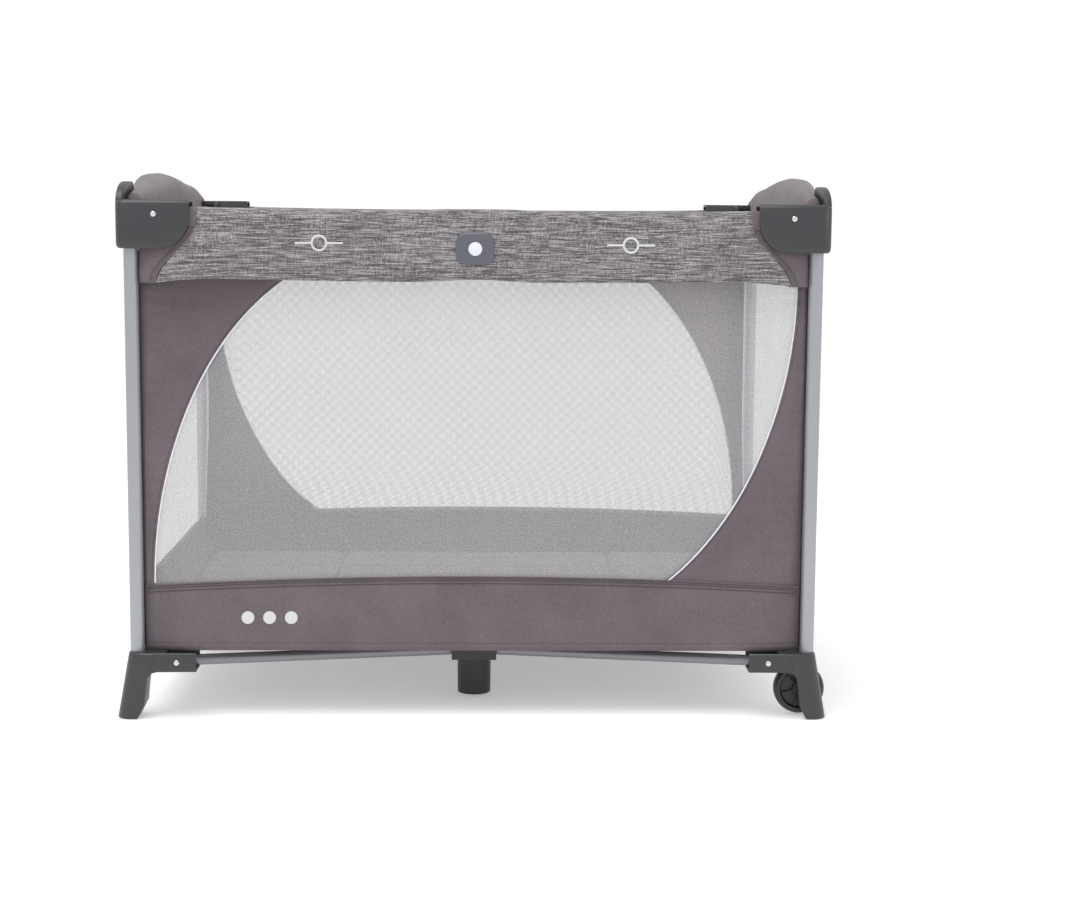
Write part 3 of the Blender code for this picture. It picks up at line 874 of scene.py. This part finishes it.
def skirt_hem(x):
    """The lower edge lifts over the latch and drops to the corners."""
    drop = min(max((abs(x) - 0.36) / 0.10, 0), 1) ** 2
    return SKIRT_LOW + 0.0025 + 0.0045 * math.exp(-(x / 0.06) ** 2) + 0.025 * x * x - 0.008 * drop


def over_latch(x):
    """One over the latch housing at the middle of the rail, and nothing beyond it."""
    return math.exp(-(x / 0.075) ** 8)


def cover_crest(x):
    return 0.7508 + 0.0014 * over_latch(x) + 0.0028 * (x / 0.41) ** 4


def skirt_end(z):
    fall = min(max((SKIRT_TOP - z) / (SKIRT_TOP - SKIRT_LOW), 0), 1)
    return COVER_END + GUSSET_DEPTH * math.sin(math.pi * fall / 2) ** 2


def cover_section(x):
    """Front skirt, over the tube and down the inside, as (y, z, fall)."""
    hem, crest = skirt_hem(x), cover_crest(x)
    shoulder = crest - 0.0145
    line = [(COVER_FACE, hem + (shoulder - hem) * i / 14) for i in range(14)]
    centre, wide = (COVER_FACE + COVER_BACK) / 2, (COVER_FACE - COVER_BACK) / 2
    square = 0.80 - 0.42 * over_latch(x)
    for i in range(17):
        c, s = math.cos(math.pi * i / 16), math.sin(math.pi * i / 16)
        line.append((centre + wide * math.copysign(abs(c) ** square, c),
                     shoulder + 0.0145 * max(s, 0) ** square))
    line += [(COVER_BACK, shoulder + (0.660 - shoulder) * i / 8) for i in range(1, 9)]
    return line


def cover_keeps(made, corner):
    """Cloth on a rail half swings with it."""
    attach(made, f"long_rail_{corner}")
    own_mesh(made)
    return made


SKIRT_POINTS = 14  # points of the section that lie on the hanging skirt
OUTER_POINTS = 20  # points that face outwards
for end, side in CORNERS:
    corner = f"{end}_{side}"
    sx, sy = SIDE_SIGN[side], END_SIGN[end]
    columns = []
    for u in steps(0, 1, 52):
        column = []
        for i, (_, edge_z) in enumerate(cover_section(u * COVER_END)):
            x = u * skirt_end(edge_z) if i < SKIRT_POINTS else u * COVER_END
            y, z = cover_section(x)[i]
            swell = 0.0012 * noise.noise(Vector((x * sx * 14, y * sy * 3, z * 14)))
            column.append((x * sx, (y + (swell if i < OUTER_POINTS else -swell)) * sy, z))
        columns.append(column)
    cover = cloth_grid(f"rail_cover_{corner}", columns, melange, 0.0018)
    cover_keeps(cover, corner)
    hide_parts(f"long_cover_{corner}")
    route = [(x * sx, (COVER_FACE + 0.0004) * sy, skirt_hem(x)) for x in steps(0, 0.46, 40)]
    cover_keeps(cording(f"cover_hem_{corner}", route, 0.0011, melange), corner)
    around = [(y, z) for y, z in cover_section(COVER_END) if z > 0.722]
    rows = []
    for x in steps(COVER_END - 0.001, 0.4160, 4):
        rows.append([(x * sx, (0.3451 + (y - 0.3451) * 1.04) * sy, z + 0.0004) for y, z in around])
    sleeve = cloth_grid(f"cover_binding_{corner}", rows, taupe_cloth, 0.0012)
    cover_keeps(sleeve, corner)
    rows = []
    for z in steps(0.6445, 0.738, 20):
        rows.append([(x * sx, (COVER_FACE - 0.0012 - 0.012 * t ** 3) * sy, z)
                     for t, x in zip(steps(0, 1, 10), steps(skirt_end(z) - 0.004, 0.4858, 10))])
    gusset = cloth_grid(f"corner_gusset_{corner}", rows, taupe_cloth, 0.0014)
    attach(gusset, f"post_{corner}")
    for label, shift, thick in (("edge", 0.0008, 0.0010), ("stitch", 0.0085, 0.0004)):
        route = [((skirt_end(z) + shift) * sx, (COVER_FACE + 0.0006) * sy, z)
                 for z in steps(0.646, 0.736, 30)]
        cloth = taupe_cloth if label == "edge" else seam_cloth
        bind = cording(f"gusset_{label}_{corner}", route, thick, cloth)
        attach(bind, f"post_{corner}")

# ---------------------------------------------------------------- badge and printed marks
# A moulded badge with a plain round inlay sits at the middle of each long side, and a small
# ring on a thin bar is printed on either side of it. A row of dots is printed on the band.
badge_nylon = grained_finish("badge_nylon", (0.095, 0.098, 0.120), 0.32, scale=1500.0)
inlay_nylon = grained_finish("inlay_nylon", (0.68, 0.70, 0.73), 0.35, scale=1500.0, bump=0.04)
print_ink = grained_finish("print_ink", (0.58, 0.575, 0.59), 0.6, scale=700.0, drift=0.2)
for end in ("front", "back"):
    sy = END_SIGN[end]
    low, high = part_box(f"badge_{end}")
    centre, half_x, half_z = (low + high) / 2, (high.x - low.x) / 2, (high.z - low.z) / 2
    base = min(abs(low.y), abs(high.y))
    work = bmesh.new()
    rings = []
    for share, out in ((0.90, 0.0), (1.0, 0.0006), (1.0, 0.0022), (0.955, 0.0032), (0.88, 0.0036),
                       (0.55, 0.0040), (0.25, 0.0042)):
        ring = []
        for i in range(64):
            angle = 2 * math.pi * i / 64
            c, s = math.cos(angle), math.sin(angle)
            reach = (abs(c) ** 4.2 + abs(s) ** 4.2) ** (-1 / 4.2)
            ring.append(work.verts.new((centre.x + half_x * share * reach * c,
                                        (base + out) * sy,
                                        centre.z + half_z * share * reach * s)))
        rings.append(ring)
    for inside, outside in zip(rings, rings[1:]):
        for i in range(64):
            n = (i + 1) % 64
            work.faces.new((inside[i], inside[n], outside[n], outside[i]))
    work.faces.new(rings[0])
    work.faces.new(rings[-1])
    bmesh.ops.recalc_face_normals(work, faces=work.faces)
    badge = piece(f"side_badge_{end}", work, badge_nylon)
    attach(badge, f"rail_housing_{end}")
    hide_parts(f"badge_{end}")
    start = (centre.x, (base + 0.0030) * sy, centre.z)
    inlay = turned(f"badge_inlay_{end}", start, Vector(start) + Vector((0, sy, 0)),
                   [(0, 0), (0, 0.0100), (0.0016, 0.0098), (0.0020, 0.0090), (0.0021, 0)],
                   inlay_nylon, 48)
    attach(inlay, f"rail_housing_{end}")
    for side in ("left", "right"):
        sx = SIDE_SIGN[side]
        ring_x, ring_z, ring_r = 0.2255 * sx, 0.7035, 0.0105
        route = [(ring_x + ring_r * math.cos(a), (COVER_FACE + 0.0006) * sy,
                  ring_z + ring_r * math.sin(a)) for a in steps(0, 2 * math.pi, 32)[:-1]]
        mark = cording(f"printed_ring_{end}_{side}", route, 0.0018, print_ink, closed=True)
        cover_keeps(mark, f"{end}_{side}")
        for way in (-1, 1):
            route = [(ring_x + way * reach, (COVER_FACE + 0.0006) * sy, ring_z)
                     for reach in steps(ring_r + 0.001, 0.0345, 8)]
            mark = cording(f"printed_bar_{end}_{side}_{'a' if way < 0 else 'b'}", route, 0.0017,
                           print_ink)
            cover_keeps(mark, f"{end}_{side}")
    for i, dot_x in enumerate((-0.335, -0.303, -0.271)):
        low_edge, high_edge = (long_face(dot_x, z, 0.0030) for z in (0.1405, 0.1595))
        slope = (high_edge - low_edge).normalized()
        middle = (low_edge + high_edge) / 2
        spot_out = Vector((middle.x * -sy, middle.y * -sy, middle.z))
        dot = turned(f"printed_dot_{end}_{i}", spot_out,
                     spot_out + Vector((0, slope.z * sy, slope.y)),
                     [(0, 0), (0, 0.0095), (0.0006, 0.0092), (0.0007, 0)], print_ink, 40)
        hung_on(dot, end)

# ---------------------------------------------------------------- end rail covers
# The end rails bow upwards under a padded taupe cover, round on top, whose ends tuck into
# the open hoods of the corner caps.
pad_cloth = woven_finish("pad_cloth", (0.165, 0.143, 0.154), contrast=0.5)
for end, side in CORNERS:
    corner = f"{end}_{side}"
    sx, sy = SIDE_SIGN[side], END_SIGN[end]
    rows = []
    for y in steps(0, 0.318, 44):
        bow = math.cos(math.pi / 2 * min(y / 0.2585, 1) ** 3) ** 2
        inside, outside = 0.4845, 0.5072 + 0.0205 * bow
        crest = 0.7700 + 0.0385 * math.cos(math.pi / 2 * y / 0.34)
        foot_z = 0.662 + 0.10 * max(0, (y - 0.2585) / 0.06)
        shoulder = crest - 0.024
        row = []
        for i in range(12):
            lift = i / 12
            hang = 0.4990 + (outside - 0.4990) * lift * lift * (3 - 2 * lift)
            row.append((hang, foot_z + (shoulder - foot_z) * lift))
        centre, wide = (inside + outside) / 2, (outside - inside) / 2
        for i in range(17):
            c, s = math.cos(math.pi * i / 16), math.sin(math.pi * i / 16)
            x = centre + wide * math.copysign(abs(c) ** 0.75, c)
            slope = 0.30 * max(0, outside - 0.008 - x)
            row.append((x, shoulder - slope + 0.024 * max(s, 0) ** 0.75))
        low_in = row[-1][1]
        row += [(inside, low_in + (foot_z - low_in) * i / 10) for i in range(1, 11)]
        rows.append([(x * sx, y * sy, z + pull((x, y * sy * 3, 1), 0.0010))
                     for x, z in row])
    for shut, y in ((0.75, 0.3205), (0.40, 0.3220), (0.03, 0.3225)):
        rows.append([(x * sx * shut + 0.4985 * sx * (1 - shut), y * sy, z * shut + 0.750 * (1 - shut))
                     for x, z in row])
    cover = cloth_grid(f"end_pad_{corner}", rows, pad_cloth, 0.0022)
    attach(cover, f"end_rail_{corner}")
    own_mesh(cover)
    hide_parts(f"end_cover_{corner}")

# ---------------------------------------------------------------- mattress and strap
# The mattress is four boards with thin foam, sewn into one quilted cover that folds at its
# seams. A webbing loop from the hub comes up through the middle seam.
quilt_cloth = woven_finish("quilt_cloth", (0.150, 0.134, 0.144), contrast=0.5, bump=0.35)
strap_cloth = woven_finish("strap_cloth", (0.050, 0.047, 0.052), pitch=0.002, bump=0.5)
for side in ("left", "right"):
    for kind in ("inner", "outer"):
        name = f"mattress_{kind}_{side}"
        low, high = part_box(name)
        middle, half = (low + high) / 2, (high - low) / 2
        columns_x, columns_y = 66, 140
        work = bmesh.new()
        grids = []
        for top in (True, False):
            grid = []
            for u in steps(-1, 1, columns_x):
                row = []
                for v in steps(-1, 1, columns_y):
                    edge = (1 - abs(u) ** 14) * (1 - abs(v) ** 24)
                    lift = half.z * (0.25 + 0.75 * edge ** 0.5)
                    if top:
                        sewn = min(abs(math.sin(math.pi * 1.5 * (u + 1))) * 5, 1) ** 0.6
                        sewn *= min(abs(math.sin(math.pi * 4 * (v + 1))) * 5, 1) ** 0.6
                        lift -= 0.0042 * (1 - sewn) * edge
                        lift += 0.0006 * noise.noise(Vector((u * 4, v * 9, 0)))
                    inset = 1 - 0.004 * (1 - edge)
                    row.append(work.verts.new((middle.x + half.x * u * inset,
                                               middle.y + half.y * v * inset,
                                               middle.z + (lift if top else -lift))))
                grid.append(row)
            grids.append(grid)
        for grid, flip in zip(grids, (False, True)):
            for near, far in zip(grid, grid[1:]):
                for i in range(columns_y):
                    face = (near[i], far[i], far[i + 1], near[i + 1])
                    work.faces.new(face[::-1] if flip else face)
        upper, lower = grids
        rim_top = ([row[0] for row in upper] + upper[-1][1:] + [row[-1] for row in upper][-2::-1]
                   + upper[0][-2:0:-1])
        rim_low = ([row[0] for row in lower] + lower[-1][1:] + [row[-1] for row in lower][-2::-1]
                   + lower[0][-2:0:-1])
        for i in range(len(rim_top)):
            n = (i + 1) % len(rim_top)
            work.faces.new((rim_top[i], rim_low[i], rim_low[n], rim_top[n]))
        bmesh.ops.recalc_face_normals(work, faces=work.faces)
        panel = piece(f"quilted_{kind}_{side}", work, quilt_cloth)
        panel.data.shade_smooth()
        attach(panel, name)
        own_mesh(panel)
        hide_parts(name)
low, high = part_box("mattress_inner_right")
rows = [[(x, y, high.z - 0.0062 - 40 * x * x) for x in steps(-0.0052, 0.0052, 6)]
        for y in steps(-0.322, 0.322, 40) if abs(y) > 0.0135]
for label, part in (("front", [row for row in rows if row[0][1] < 0]),
                    ("back", [row for row in rows if row[0][1] > 0])):
    seam = cloth_grid(f"mattress_seam_{label}", part, quilt_cloth, 0.0014)
    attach(seam, "centre_hub")
    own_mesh(seam)
softened("pull_strap", "lift_strap", strap_cloth, "centre_hub", 0.0004)
